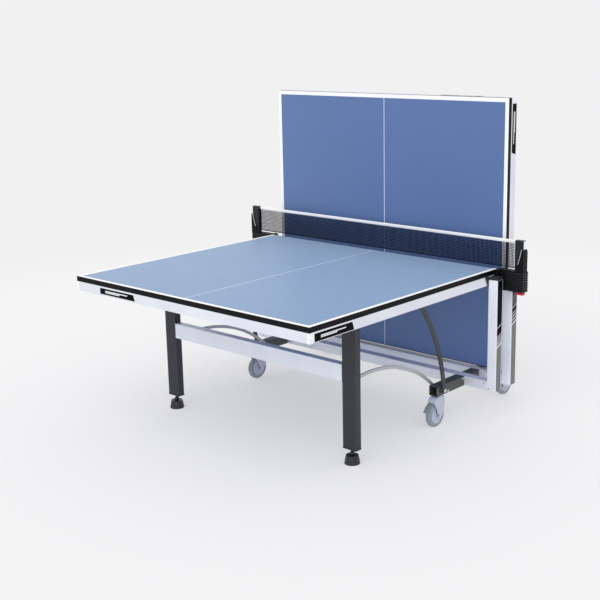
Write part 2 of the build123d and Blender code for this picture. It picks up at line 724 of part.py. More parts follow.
# ---- assembly ----
def add_half(name, place_half, place_leg, place_arm, place_link, turn):
    """All nodes of one half; turn is -1 where the half is drawn on the other side."""
    add("top_board_" + name, place_half(board()))
    add("edge_frame_" + name, *[place_half(piece) for piece in edge_frame()])
    add("apron_" + name, *[place_half(piece) for piece in apron()])
    add("frame_ribs_" + name, *[place_half(piece) for piece in ribs()])
    brackets = [piece for side in (-1, 1)
                for piece in [fold_bearing(side)] + hinge_cheeks(side) + arm_bracket(side)]
    add("brackets_" + name, *[place_half(piece) for piece in brackets])
    add("leg_crossbar_" + name, place_leg(leg_bar()))
    add("leg_end_caps_" + name, *[place_leg(leg_cap(side)) for side in (-1, 1)])
    for word, sign in sides.items():
        side = sign * turn
        add(f"leg_{name}_{word}", place_leg(leg(side)))
        add(f"foot_{name}_{word}", place_leg(foot(side)))
        add(f"arm_{name}_{word}", place_arm(arm(side)))
        add(f"link_{name}_{word}", place_link(link(side)))


def half_turn(piece):
    return Rot(0, 0, 180) * piece


def fold_arm(piece):
    return turn_y(piece, arm_pivot_u, arm_pivot_z, arm_high - arm_low)


def fold_link(piece):
    return turn_y(piece, link_pivot_u, link_pivot_z, link_high - link_low)


def lowered_carriage(piece):
    return Pos(0, 0, -fold_drop) * piece


add_half("near", half_turn, half_turn, half_turn, half_turn, -1)
add_half("far", fold_with_half, fold_with_leg, fold_arm, fold_link, 1)
add("carriage_near", *[half_turn(carriage(side)) for side in (-1, 1)])
add("carriage_far", *[lowered_carriage(carriage(side)) for side in (-1, 1)])

ends = {"near": -1, "far": 1}
for end, direction in ends.items():
    add("chassis_crossbar_" + end, crossbar(direction))
    for word, side in sides.items():
        add(f"column_{end}_{word}", column(direction, side))
        add(f"caster_fork_{end}_{word}", *[at_corner(piece, direction, side) for piece in fork()])
        add(f"caster_wheel_{end}_{word}", *[at_corner(piece, direction, side) for piece in wheel()])
for end, word in (("near", "right"), ("far", "left")):
    add(f"brake_pedal_{end}_{word}", at_corner(pedal(), ends[end], sides[word]))
add("column_caps", *[column_cap(direction, side) for direction in (-1, 1) for side in (-1, 1)])
add("frame_bolts", *chassis_bolts())
for word, side in sides.items():
    add("side_beam_" + word, *side_beam(side))
    add("net_housing_" + word, net_housing(side))
    add("net_post_" + word, net_post(side))
    add("release_button_" + word, release_button(side))
add("net_mesh", net_panel())
add("net_tape", net_tape())

os.makedirs("parts", exist_ok=True)
for name, solids in nodes.items():
    export_step(Compound(solids), f"parts/{name}.step")
print(len(nodes), "nodes")
print("fold drop", round(fold_drop, 3), "arm swing", round(arm_high - arm_low, 3),
      "link swing", round(link_high - link_low, 3))
print("arm end", round(arm_end_u, 3), "link pivot", round(link_pivot_u, 3))
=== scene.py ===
"""Looks of a folding table-tennis table: near half down for play, far half folded up, net between."""

from math import cos, pi, radians, sin

import bmesh
import bpy
from mathutils import Matrix, Vector


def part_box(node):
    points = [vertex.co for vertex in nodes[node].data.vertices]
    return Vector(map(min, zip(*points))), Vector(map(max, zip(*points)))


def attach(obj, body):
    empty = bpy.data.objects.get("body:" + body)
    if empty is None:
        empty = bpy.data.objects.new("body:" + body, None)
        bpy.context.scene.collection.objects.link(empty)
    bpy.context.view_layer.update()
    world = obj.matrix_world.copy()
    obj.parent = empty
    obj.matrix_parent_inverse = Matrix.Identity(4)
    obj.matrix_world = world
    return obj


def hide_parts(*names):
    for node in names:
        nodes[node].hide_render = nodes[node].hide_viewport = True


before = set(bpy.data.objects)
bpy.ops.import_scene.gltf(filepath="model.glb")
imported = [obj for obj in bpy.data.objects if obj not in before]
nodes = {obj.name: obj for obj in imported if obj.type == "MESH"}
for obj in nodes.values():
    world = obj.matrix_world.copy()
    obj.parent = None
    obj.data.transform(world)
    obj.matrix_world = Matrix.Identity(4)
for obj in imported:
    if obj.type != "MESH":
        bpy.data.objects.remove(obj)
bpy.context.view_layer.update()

MM = 0.001
SIDES = {"right": -1, "left": 1}  # sign of Y
ENDS = {"near": -1, "far": 1}  # sign of X
X_AXIS, Y_AXIS, Z_AXIS = Vector((1, 0, 0)), Vector((0, 1, 0)), Vector((0, 0, 1))


def in_mm(points):
    """Pairs given in millimetres, as metres."""
    return [(first * MM, second * MM) for first, second in points]


# ---------------------------------------------------------------- materials
def srgb(red, green, blue):
    """Linear colour from screen values between 0 and 255."""
    def linear(value):
        value /= 255
        return value / 12.92 if value <= 0.04045 else ((value + 0.055) / 1.055) ** 2.4
    return linear(red), linear(green), linear(blue), 1.0


def shaded(colour, factor):
    """The same colour, darker or lighter."""
    return tuple(min(1.0, channel * factor) for channel in colour[:3]) + (1.0,)


BOARD_BLUE = srgb(76, 106, 160)
NET_NAVY = srgb(13, 15, 30)
TYRE_GREY = srgb(132, 140, 150)
SILVER = srgb(228, 232, 244)
BLACK = srgb(9, 10, 15)
NOISE_LOW, NOISE_HIGH = 0.3, 0.7  # nearly all of a noise's values lie between these


class Surface:
    """A node material: a Principled shader fed by patterns that are laid out in metres."""

    def __init__(self, name, **sockets):
        self.material = bpy.data.materials.new(name)
        self.material.use_nodes = True
        self.tree = self.material.node_tree
        self.shader = self.tree.nodes["Principled BSDF"]
        for socket, value in sockets.items():
            self.shader.inputs[socket.replace("_", " ")].default_value = value
        self.place = self.add("ShaderNodeTexCoord").outputs["Object"]

    def add(self, kind, **settings):
        """A new node, with its settings."""
        node = self.tree.nodes.new(kind)
        for key, value in settings.items():
            setattr(node, key, value)
        return node

    def link(self, source, target):
        """Joins an output socket to an input socket."""
        self.tree.links.new(source, target)

    def stretched(self, scale):
        """The place, scaled on each axis."""
        mapping = self.add("ShaderNodeMapping")
        mapping.inputs["Scale"].default_value = scale
        self.link(self.place, mapping.inputs["Vector"])
        return mapping.outputs["Vector"]

    def noise(self, scale, detail=3.0, stretch=None):
        """Soft random pattern, scale to the metre."""
        node = self.add("ShaderNodeTexNoise")
        node.inputs["Scale"].default_value = scale
        node.inputs["Detail"].default_value = detail
        self.link(self.stretched(stretch) if stretch else self.place, node.inputs["Vector"])
        return node.outputs["Fac"]

    def waves(self, scale, distortion, stretch):
        """Even bands along X of the stretched place."""
        node = self.add("ShaderNodeTexWave", wave_type="BANDS", bands_direction="X")
        node.inputs["Scale"].default_value = scale
        node.inputs["Distortion"].default_value = distortion
        self.link(self.stretched(stretch), node.inputs["Vector"])
        return node.outputs["Fac"]

    def ranged(self, source, low, high, new_low, new_high):
        """A value moved from one range to another."""
        node = self.add("ShaderNodeMapRange")
        limits = {"From Min": low, "From Max": high, "To Min": new_low, "To Max": new_high}
        for socket, value in limits.items():
            node.inputs[socket].default_value = value
        self.link(source, node.inputs["Value"])
        return node.outputs["Result"]

    def mixed(self, factor, first, second):
        """Mix of two colours, each a socket or a fixed value."""
        node = self.add("ShaderNodeMix", data_type="RGBA")
        self.link(factor, node.inputs["Factor"])
        for socket, value in (("A", first), ("B", second)):
            target = [item for item in node.inputs if item.name == socket and item.type == "RGBA"][0]
            if isinstance(value, tuple):
                target.default_value = value
            else:
                self.link(value, target)
        return [item for item in node.outputs if item.type == "RGBA"][0]

    def drifting(self, noise, first, second, low=NOISE_LOW):
        """Colour that drifts from the first to the second with a noise."""
        return self.mixed(self.ranged(noise, low, NOISE_HIGH, 0.0, 1.0), first, second)

    def colour(self, source):
        """The shader's colour comes from a socket."""
        self.link(source, self.shader.inputs["Base Color"])

    def roughness(self, noise, low, high):
        """The shader's roughness drifts between two values with a noise."""
        self.link(self.ranged(noise, NOISE_LOW, NOISE_HIGH, low, high), self.shader.inputs["Roughness"])

    def bump(self, source, depth, under=None):
        """Fine relief of a depth, over another relief if one is given."""
        node = self.add("ShaderNodeBump")
        node.inputs["Distance"].default_value = depth
        self.link(source, node.inputs["Height"])
        if under is not None:
            self.link(under, node.inputs["Normal"])
        return node.outputs["Normal"]

    def normal(self, source):
        """The shader's relief comes from a socket."""
        self.link(source, self.shader.inputs["Normal"])


def coated(name, colour, rough, grain=900.0, depth=0.02 * MM, **sockets):
    """Paint or moulded plastic: faint patches of colour and gloss over a fine grain."""
    patch, spread = 5.0, 0.05
    surface = Surface(name, **sockets)
    patches = surface.noise(patch, 4.0)
    surface.colour(surface.drifting(patches, shaded(colour, 1 - spread), shaded(colour, 1 + spread)))
    surface.roughness(surface.noise(patch * 6, 5.0), rough * 0.88, rough * 1.12)
    surface.normal(surface.bump(surface.noise(grain, 2.0), depth))
    return surface.material


def brushed(name, colour, rough, along, **sockets):
    """Metal drawn out along one axis, with fine lengthwise streaks."""
    surface = Surface(name, **sockets)
    stretch = tuple(0.04 if axis == along else 1.0 for axis in "XYZ")
    streaks = surface.noise(1600.0, 4.0, stretch)
    surface.colour(surface.drifting(surface.noise(4.0), shaded(colour, 0.95), shaded(colour, 1.04)))
    surface.roughness(streaks, rough * 0.8, rough * 1.2)
    surface.normal(surface.bump(streaks, 0.012 * MM))
    return surface.material


def playing_paint():
    """Matt blue lacquer with faint clouds, a few paler specks and a fine pebble."""
    surface = Surface("playing_paint", IOR=1.5, Specular_IOR_Level=0.6, Sheen_Weight=0.92,
                      Sheen_Roughness=0.45, Sheen_Tint=(0.66, 0.86, 1.0, 1.0))
    clouded = surface.drifting(surface.noise(2.4, 5.0), BOARD_BLUE, shaded(BOARD_BLUE, 1.06))
    specks = surface.ranged(surface.noise(2600.0, 1.0), 0.62, 0.75, 0.0, 0.25)
    surface.colour(surface.mixed(specks, clouded, shaded(BOARD_BLUE, 1.35)))
    surface.roughness(surface.noise(14.0, 6.0), 0.40, 0.47)
    surface.normal(surface.bump(surface.noise(1100.0, 2.0), 0.03 * MM))
    return surface.material


def cord_fibre():
    """Twisted dark cord of the net."""
    surface = Surface("net_cord", Specular_IOR_Level=0.08)
    twist = surface.waves(900.0, 2.0, (1.0, 1.0, 1.0))
    surface.colour(surface.mixed(twist, shaded(NET_NAVY, 0.7), shaded(NET_NAVY, 1.5)))
    surface.roughness(surface.noise(700.0, 3.0), 0.7, 0.9)
    surface.normal(surface.bump(twist, 0.15 * MM))
    return surface.material


def woven_tape(name, colour):
    """Binding tape with a visible weave."""
    surface = Surface(name, Specular_IOR_Level=0.25, Sheen_Weight=0.2)
    warp = surface.waves(250.0, 0.0, (0.0, 1.0, 0.0))
    weft = surface.noise(900.0, 2.0, (1.0, 0.35, 1.0))
    surface.colour(surface.drifting(weft, shaded(colour, 0.94), colour))
    surface.roughness(weft, 0.75, 0.9)
    surface.normal(surface.bump(weft, 0.12 * MM, surface.bump(warp, 0.06 * MM)))
    return surface.material


def tyre_rubber():
    """Grey rubber with a fine grain and dusty patches."""
    surface = Surface("tyre_rubber", Specular_IOR_Level=0.4)
    dust = surface.noise(60.0, 6.0)
    surface.colour(surface.drifting(dust, TYRE_GREY, shaded(TYRE_GREY, 1.2), low=0.35))
    surface.roughness(dust, 0.6, 0.75)
    surface.normal(surface.bump(surface.noise(1500.0, 3.0), 0.04 * MM))
    return surface.material


# One finish for each material slot: name, colour, roughness, then the grain's scale and depth.
finishes = {
    "playing_board": playing_paint(),
    "edge_black": coated("edge_band", BLACK, 0.5, Specular_IOR_Level=0.12),
    "apron_silver": coated("apron_silver", srgb(222, 225, 235), 0.36, 1300.0, 0.018 * MM, Metallic=0.2),
    "rib_steel": coated("rib_paint", srgb(40, 41, 45), 0.5),
    "bracket_steel": coated("bracket_paint", srgb(34, 35, 38), 0.45),
    "bar_silver": coated("bar_silver", SILVER, 0.34, 1300.0, 0.018 * MM, Metallic=0.3),
    "cap_black": coated("cap_plastic", srgb(26, 27, 29), 0.55, 1400.0, 0.05 * MM),
    "leg_anthracite": coated("leg_anthracite", srgb(46, 49, 56), 0.3, 1500.0, 0.02 * MM, Metallic=0.3),
    "foot_black": coated("foot_rubber", srgb(26, 27, 30), 0.4, 1200.0, 0.05 * MM),
    "arm_black": coated("arm_paint", srgb(52, 53, 55), 0.4, 1300.0, 0.03 * MM),
    "link_grey": coated("link_grey", srgb(176, 178, 186), 0.36, 1300.0, 0.02 * MM, Metallic=0.4),
    "carriage_steel": coated("carriage_paint", srgb(40, 40, 44), 0.45),
    "column_silver": brushed("column_silver", srgb(234, 237, 248), 0.3, "Z", Metallic=0.15),
    "caster_grey": coated("caster_plastic", srgb(184, 186, 208), 0.4, 1100.0, 0.04 * MM),
    "tyre_grey": tyre_rubber(),
    "pedal_grey": coated("pedal_plastic", srgb(128, 136, 142), 0.45, 1100.0, 0.05 * MM),
    "bolt_steel": brushed("bolt_zinc", srgb(206, 206, 208), 0.28, "Y", Metallic=0.95),
    "beam_black": coated("beam_paint", srgb(66, 68, 66), 0.42, 1300.0, 0.03 * MM),
    "housing_black": coated("housing_plastic", srgb(11, 12, 15), 0.5, 1500.0, 0.06 * MM,
                            Specular_IOR_Level=0.15),
    "post_black": coated("post_plastic", srgb(26, 27, 32), 0.4, 1500.0, 0.05 * MM,
                         Specular_IOR_Level=0.35),
    "button_red": coated("button_red", srgb(216, 30, 42), 0.3, 1500.0, 0.03 * MM),
    "net_cord": cord_fibre(),
    "tape_white": woven_tape("tape_white", srgb(246, 246, 246)),
}
line_paint = coated("line_paint", srgb(253, 253, 255), 0.5, 1100.0, 0.03 * MM)
corner_white = coated("corner_plastic", srgb(238, 239, 243), 0.35, 1500.0, 0.03 * MM)
badge_black = coated("badge_black", srgb(7, 7, 9), 0.55, 1500.0, 0.015 * MM, Specular_IOR_Level=0.05)
badge_light = coated("badge_light", srgb(232, 233, 236), 0.35)
panel_grey = coated("panel_grey", srgb(104, 107, 104), 0.42)
panel_dark = coated("panel_dark", srgb(60, 60, 60), 0.4)


# ---------------------------------------------------------------- mesh helpers
def add_object(name, data):
    """Object of a mesh, lamp or camera, in the scene."""
    piece = bpy.data.objects.new(name, data)
    bpy.context.scene.collection.objects.link(piece)
    return piece


def add_block(shape, low, high):
    """Box between two corners, in a bmesh."""
    corners = [shape.verts.new((x, y, z)) for x in (low[0], high[0]) for y in (low[1], high[1])
               for z in (low[2], high[2])]
    for face in ((0, 1, 3, 2), (4, 6, 7, 5), (0, 4, 5, 1), (2, 3, 7, 6), (0, 2, 6, 4), (1, 5, 7, 3)):
        shape.faces.new([corners[index] for index in face])


def add_prism(shape, outline, place):
    """Solid from a closed outline of (a, b) points; place(a, b, side) gives the point on side 0 or 1."""
    rings = [[shape.verts.new(place(a, b, side)) for a, b in outline] for side in (0, 1)]
    count = len(outline)
    for index in range(count):
        after = (index + 1) % count
        shape.faces.new([rings[0][index], rings[0][after], rings[1][after], rings[1][index]])
    shape.faces.new(rings[0][::-1])
    shape.faces.new(rings[1])


def add_lathe(shape, profile, place, segments=48, ring=False):
    """Profile of (radius, height) points turned about an axis; a ring's last point joins its first."""
    rows = []
    for radius, height in profile:
        if radius == 0:
            rows.append([shape.verts.new(place(0, 0, height))])
            continue
        row = []
        for step in range(segments):
            angle = 2 * pi * step / segments
            row.append(shape.verts.new(place(radius * cos(angle), radius * sin(angle), height)))
        rows.append(row)
    following = rows[1:] + rows[:1] if ring else rows[1:]
    for low, high in zip(rows, following):
        for step in range(segments):
            after = (step + 1) % segments
            if len(low) == 1:
                shape.faces.new([low[0], high[after], high[step]])
            elif len(high) == 1:
                shape.faces.new([low[step], low[after], high[0]])
            else:
                shape.faces.new([low[step], low[after], high[after], high[step]])


def add_strand(shape, points, radii, across, sides=5):
    """Cord through points, its cross-section laid out on the two across directions."""
    rings = []
    for point, radius in zip(points, radii):
        ring = []
        for side in range(sides):
            angle = 2 * pi * side / sides
            ring.append(shape.verts.new(point + radius * (cos(angle) * across[0] + sin(angle) * across[1])))
        rings.append(ring)
    for low, high in zip(rings, rings[1:]):
        for side in range(sides):
            after = (side + 1) % sides
            shape.faces.new([low[side], low[after], high[after], high[side]])
    shape.faces.new(rings[0][::-1])
    shape.faces.new(rings[-1])


def soft_edges(piece, width, segments=2, angle=35):
    """Rounded edges on a piece, with shading that keeps its flats flat."""
    bevel = piece.modifiers.new("soft_edges", "BEVEL")
    bevel.width = width
    bevel.segments = segments
    bevel.limit_method = "ANGLE"
    bevel.angle_limit = radians(angle)
    bevel.use_clamp_overlap = True
    normals = piece.modifiers.new("flat_faces", "WEIGHTED_NORMAL")
    normals.keep_sharp = True


def finish_piece(name, shape, material, body, edges=0.0, sharp=40):
    """Object from a bmesh, on its body, with rounded edges if asked."""
    bmesh.ops.recalc_face_normals(shape, faces=shape.faces)
    for face in shape.faces:
        face.smooth = True
    for edge in shape.edges:
        if len(edge.link_faces) == 2 and edge.calc_face_angle(0) > radians(sharp):
            edge.smooth = False
    mesh = bpy.data.meshes.new(name)
    shape.to_mesh(mesh)
    shape.free()
    mesh.materials.append(material)
    piece = add_object(name, mesh)
    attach(piece, body)
    if edges:
        soft_edges(piece, edges)
    return piece


def soften_node(name, width, segments=2, angle=35):
    """Rounded edges on a CAD node, whose own mesh stays as it is."""
    weld = nodes[name].modifiers.new("joined", "WELD")
    weld.merge_threshold = 0.01 * MM
    soft_edges(nodes[name], width, segments, angle)


# ---------------------------------------------------------------- places
# A half is drawn lowered: u runs outwards from the net, y across the table and z up.
_, near_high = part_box("top_board_near")
far_low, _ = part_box("top_board_far")
edge_low, edge_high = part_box("edge_frame_near")
apron_low, apron_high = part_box("apron_near")
SURFACE = near_high.z
INNER_U = -near_high.x
HALF_WIDTH = edge_high.y
COURT_END = -edge_low.x


def near_place(u, y, z):
    """Point on the near half, which is lowered."""
    return Vector((-u, -y, z))


def far_place(u, y, z):
    """Point on the far half, which stands folded."""
    return Vector((far_low.x + SURFACE - z, y, far_low.z + u - INNER_U))


def half_block(shape, place, low, high):
    """Box between two corners on a half."""
    first, second = place(*low), place(*high)
    corner_low = [min(a, b) for a, b in zip(first, second)]
    corner_high = [max(a, b) for a, b in zip(first, second)]
    add_block(shape, corner_low, corner_high)


def distances(name):
    """Least and greatest distance of a node from the table's middle plane."""
    low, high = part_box(name)
    return sorted((abs(low.y), abs(high.y)))


# ---------------------------------------------------------------- playing surface
def court_lines(end, place):
    """White edge lines and the fine centre line, as a thin coat of paint."""
    line, centre_line, coat, inset, overrun = 20 * MM, 3 * MM, 0.25 * MM, 0.4 * MM, 3 * MM
    outer_y, outer_u = HALF_WIDTH - inset, COURT_END - inset
    top = SURFACE + coat
    shape = bmesh.new()
    for side in (-1, 1):
        half_block(shape, place, (INNER_U - overrun, side * outer_y, SURFACE),
                   (outer_u, side * (outer_y - line), top))
    half_block(shape, place, (outer_u - line, -outer_y + line, SURFACE), (outer_u, outer_y - line, top))
    half_block(shape, place, (INNER_U, -centre_line / 2, SURFACE), (outer_u - line, centre_line / 2, top))
    finish_piece("court_lines_" + end, shape, line_paint, "half_" + end, edges=0.1 * MM)


# ---------------------------------------------------------------- apron details
def corner_caps(end, place):
    """White corner pieces that wrap the outer ends of the apron."""
    along, across, thick, gap = 24 * MM, 14 * MM, 1.2 * MM, 0.1 * MM
    low, high = apron_low.z - 0.4 * MM, apron_high.z - 0.6 * MM
    u_out, u_gap, u_back = COURT_END + thick, COURT_END + gap, COURT_END - along
    shape = bmesh.new()
    for side in (-1, 1):
        y_out, y_gap, y_in = [side * (HALF_WIDTH + step) for step in (thick, gap, -across)]
        outline = [(u_out, y_out), (u_out, y_in), (u_gap, y_in), (u_gap, y_gap), (u_back, y_gap),
                   (u_back, y_out)]
        add_prism(shape, outline, lambda u, y, top: place(u, y, high if top else low))
    finish_piece("corner_caps_" + end, shape, corner_white, "half_" + end, edges=0.5 * MM)


def badge(name, end, left, right, low, high, slant, place_flat):
    """Blank dark plate with a light border and two plain bars; place_flat(a, b, height) puts it on a face."""
    border, plate, bar, lift = 1.8 * MM, 0.9 * MM, 2.4 * MM, 3.2 * MM
    towards = 1 if right > left else -1
    middle, length = (low + high) / 2, right - left

    def layer(word, outlines, bottom, top, material, edges):
        """Outlines raised from a bottom to a top, both as shares of the plate's height."""
        shape = bmesh.new()
        for outline in outlines:
            add_prism(shape, outline,
                      lambda a, b, upper: place_flat(a, b, plate * (top if upper else bottom)))
        finish_piece(f"{name}_{word}", shape, material, "half_" + end, edges=edges)

    outside = [(left, low), (right, low), (right - slant, high), (left, high)]
    inside = [(left + towards * border, low + border), (right - towards * border * 1.4, low + border),
              (right - slant - towards * border * 0.8, high - border),
              (left + towards * border, high - border)]
    bars = []
    for start, stop, rise in ((0.16, 0.78, lift), (0.16, 0.56, -lift)):
        first, last = left + start * length, left + stop * length
        lean = towards * bar
        bars.append([(first - lean, middle + rise - bar), (last - lean, middle + rise - bar),
                     (last + lean, middle + rise + bar), (first + lean, middle + rise + bar)])
    layer("border", [outside], 0.0, 0.6, badge_light, 0.2 * MM)
    layer("plate", [inside], 0.5, 1.0, badge_black, 0.25 * MM)
    layer("bars", bars, 0.9, 1.25, badge_light, 0.15 * MM)


def all_badges(end, place):
    """One plate on the outer end and one on each side of a half."""
    start, length, margin, slant = -584 * MM, 263 * MM, 6 * MM, 12 * MM
    badge("badge_end_" + end, end, start, start + length, apron_low.z + margin, apron_high.z - margin, slant,
          lambda a, b, height: place(COURT_END + height, a, b))
    start, length, below, above = COURT_END - 27 * MM, 250 * MM, 1 * MM, 5 * MM
    for word, side in SIDES.items():
        badge(f"badge_{word}_{end}", end, start, start - length, apron_low.z + below, apron_high.z - above,
              -slant, lambda a, b, height, side=side: place(a, side * (HALF_WIDTH + height), b))


# ---------------------------------------------------------------- columns
# Each stripe's lowest point above the foot of its column, and its height, in millimetres.
STRIPES = {
    "near": ((320, 3.0), (272, 4.0), (256, 5.0), (240, 6.0), (221, 9.0)),
    "far": ((405, 62.0), (394, 4.0), (366, 4.0), (349, 5.0), (331, 6.0), (311, 8.0)),
}


def column_panel(end, word):
    """Dark sleeve on the outer side of a column, crossed by rising stripes over a grey lower part."""
    name = f"column_{end}_{word}"
    side = SIDES[word]
    low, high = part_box(name)
    _, outer = distances(name)
    margin, thick, rise, trim, broad = 4.5 * MM, 0.5 * MM, 21 * MM, 1 * MM, 20 * MM
    first, last = low.x + margin, high.x - margin
    bottom, top = low.z + trim, high.z - trim
    stripes = sorted((low.z + start, height) for start, height in in_mm(STRIPES[end]))

    def band(start, height):
        """Outline of a stripe, which rises towards +X."""
        return [(first, start), (last, start + rise), (last, start + rise + height), (first, start + height)]

    def add_panel(part, outlines, depth, material):
        """Outlines on the column's outer face, raised to a depth."""
        shape = bmesh.new()
        for outline in outlines:
            add_prism(shape, outline, lambda x, z, raised: Vector((x, side * (outer + depth * raised), z)))
        finish_piece(f"{part}_{end}_{word}", shape, material, "chassis")

    split = stripes[0][0]
    foot = [(first, bottom), (last, bottom), (last, split + rise), (first, split)]
    body = [(first, split), (last, split + rise), (last, top), (first, top)]
    narrow_bands = [band(start, height) for start, height in stripes if height <= broad]
    broad_bands = [band(start, height) for start, height in stripes if height > broad]
    add_panel("sleeve_grey", [foot], thick, panel_grey)
    add_panel("sleeve_black", [body], thick, badge_black)
    add_panel("stripes_light", narrow_bands, thick * 1.5, badge_light)
    if broad_bands:
        add_panel("stripes_dark", broad_bands, thick * 1.5, panel_dark)


# ---------------------------------------------------------------- net
def net():
    """Knotted cord net: upright and level strands that pass in front of and behind each other."""
    low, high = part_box("net_mesh")
    pitch, hem_gap, weave, hem_cord = 7.5 * MM, 7 * MM, 0.4 * MM, 1.9 * MM
    upright, upright_knot, level, level_knot = 1.45 * MM, 1.7 * MM, 1.05 * MM, 1.5 * MM
    low.z += hem_gap
    columns = round((high.y - low.y) / pitch)
    rows = round((high.z - low.z) / pitch)
    step_y, step_z = (high.y - low.y) / columns, (high.z - low.z) / rows
    shape = bmesh.new()

    def add_woven(number, halves, swing, thin, knot, across, place):
        """Strand that swings to and fro and thickens at each crossing, two half steps apart."""
        points, radii = [], []
        for half in range(halves + 1):
            crossing = half % 2 == 0
            points.append(place(swing * (-1) ** (number + half // 2) if crossing else 0.0, half))
            radii.append(knot if crossing else thin)
        add_strand(shape, points, radii, across)

    for column in range(columns + 1):
        y = low.y + column * step_y
        add_woven(column, 2 * rows, weave, upright, upright_knot, (X_AXIS, Y_AXIS),
                  lambda x, half: Vector((x, y, low.z + half * step_z / 2)))
    for row in range(rows):
        z = low.z + row * step_z
        add_woven(row, 2 * columns, -weave, level, level_knot, (X_AXIS, Z_AXIS),
                  lambda x, half: Vector((x, low.y + half * step_y / 2, z)))
    piece = finish_piece("net_cords", shape, finishes["net_cord"], "chassis", sharp=70)
    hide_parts("net_mesh")

    hem = bmesh.new()
    add_strand(hem, [Vector((0, low.y, low.z + hem_cord)), Vector((0, high.y, low.z + hem_cord))],
               [hem_cord, hem_cord], (X_AXIS, Z_AXIS), sides=10)
    for y in (low.y + hem_cord, high.y - hem_cord):
        add_strand(hem, [Vector((0, y, low.z)), Vector((0, y, high.z))], [hem_cord, hem_cord],
                   (X_AXIS, Y_AXIS), sides=10)
    finish_piece("net_hem", hem, finishes["net_cord"], "chassis", sharp=70)


# Half the tape's section, as shares of its half thickness and of its height.
TAPE_SECTION = ((0.35, 0.0), (0.45, 0.25), (0.75, 0.5), (0.95, 0.72), (0.8, 0.9), (0.4, 0.99))


def tape():
    """White tape folded over the top cord, rippled along its lower edges."""
    low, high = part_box("net_tape")
    height, half = high.z - low.z, (high.x - low.x) / 2
    profile = [(-across, up) for across, up in TAPE_SECTION] + [(0.0, 1.0)] + list(reversed(TAPE_SECTION))
    spans, ripple_depth, short_wave, long_wave = 240, 0.12, 0.9, 0.23
    shape = bmesh.new()
    rows = []
    for span in range(spans + 1):
        y = low.y + (high.y - low.y) * span / spans
        ripple = ripple_depth * sin(span * short_wave) * sin(span * long_wave + 1.0)
        rows.append([shape.verts.new(((across + ripple * (1 - up)) * half, y, low.z + up * height))
                     for across, up in profile])
    for one, other in zip(rows, rows[1:]):
        for index in range(len(profile) - 1):
            shape.faces.new([one[index], one[index + 1], other[index + 1], other[index]])
    piece = finish_piece("net_tape_cloth", shape, finishes["tape_white"], "chassis", sharp=80)
    thickness = piece.modifiers.new("cloth", "SOLIDIFY")
    thickness.thickness = 0.5 * MM
    thickness.offset = 1.0
    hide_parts("net_tape")


def tape_stitches():
    """Row of stitches along each lower edge of the tape."""
    low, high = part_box("net_tape")
    stitch, gap, lift, arch, thin, thick = 3.2 * MM, 5.0 * MM, 3.0 * MM, 0.3 * MM, 0.12 * MM, 0.3 * MM
    beside = (high.x - low.x) / 4 + 0.55 * MM
    z = low.z + lift
    shape = bmesh.new()
    for index in range(int((high.y - low.y - 2 * gap) / gap)):
        y = low.y + gap + index * gap
        for x, bend in ((-beside, -arch), (beside, arch)):
            points = [Vector((x, y, z)), Vector((x + bend, y + stitch / 2, z)), Vector((x, y + stitch, z))]
            add_strand(shape, points, [thin, thick, thin], (X_AXIS, Z_AXIS), sides=4)
    finish_piece("net_tape_stitches", shape, line_paint, "chassis", sharp=80)


# ---------------------------------------------------------------- net fittings
def housing_cheek(word):
    """Cheek between the board's edge and a net housing, its top sloping down to the board."""
    side = SIDES[word]
    inner, _ = distances("net_housing_" + word)
    near, far = HALF_WIDTH + 3.5 * MM, inner + 1 * MM
    half_length, thick, slope, top = 40 * MM, 64 * MM, 3 * MM, SURFACE + 2 * MM
    outline = [(near, top - thick), (far, top - thick), (far, top), (near, top - slope)]
    shape = bmesh.new()
    add_prism(shape, outline, lambda y, z, end: Vector((half_length * (2 * end - 1), side * y, z)))
    finish_piece("housing_cheek_" + word, shape, finishes["housing_black"], "chassis",
                 edges=1.0 * MM)


def housing_ridges(word):
    """Level ridges that wrap the outer part of a net housing."""
    side = SIDES[word]
    low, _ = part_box("net_housing_" + word)
    inner, outer = distances("net_housing_" + word)
    half_depth, proud, sunk, start = 22 * MM, 0.8 * MM, 0.4 * MM, inner + 36 * MM
    count, first, pitch, ridge = 8, 4 * MM, 12 * MM, 5 * MM
    x_out, x_in, y_out, y_in = half_depth + proud, half_depth - sunk, outer + proud, outer - sunk
    outline = [(-x_out, start), (-x_out, y_out), (x_out, y_out), (x_out, start),
               (x_in, start), (x_in, y_in), (-x_in, y_in), (-x_in, start)]
    shape = bmesh.new()
    for step in range(count):
        level = low.z + first + step * pitch
        add_prism(shape, outline, lambda x, y, top: Vector((x, side * y, level + ridge * top)))
    finish_piece("housing_ridges_" + word, shape, finishes["post_black"], "chassis",
                 edges=0.4 * MM)


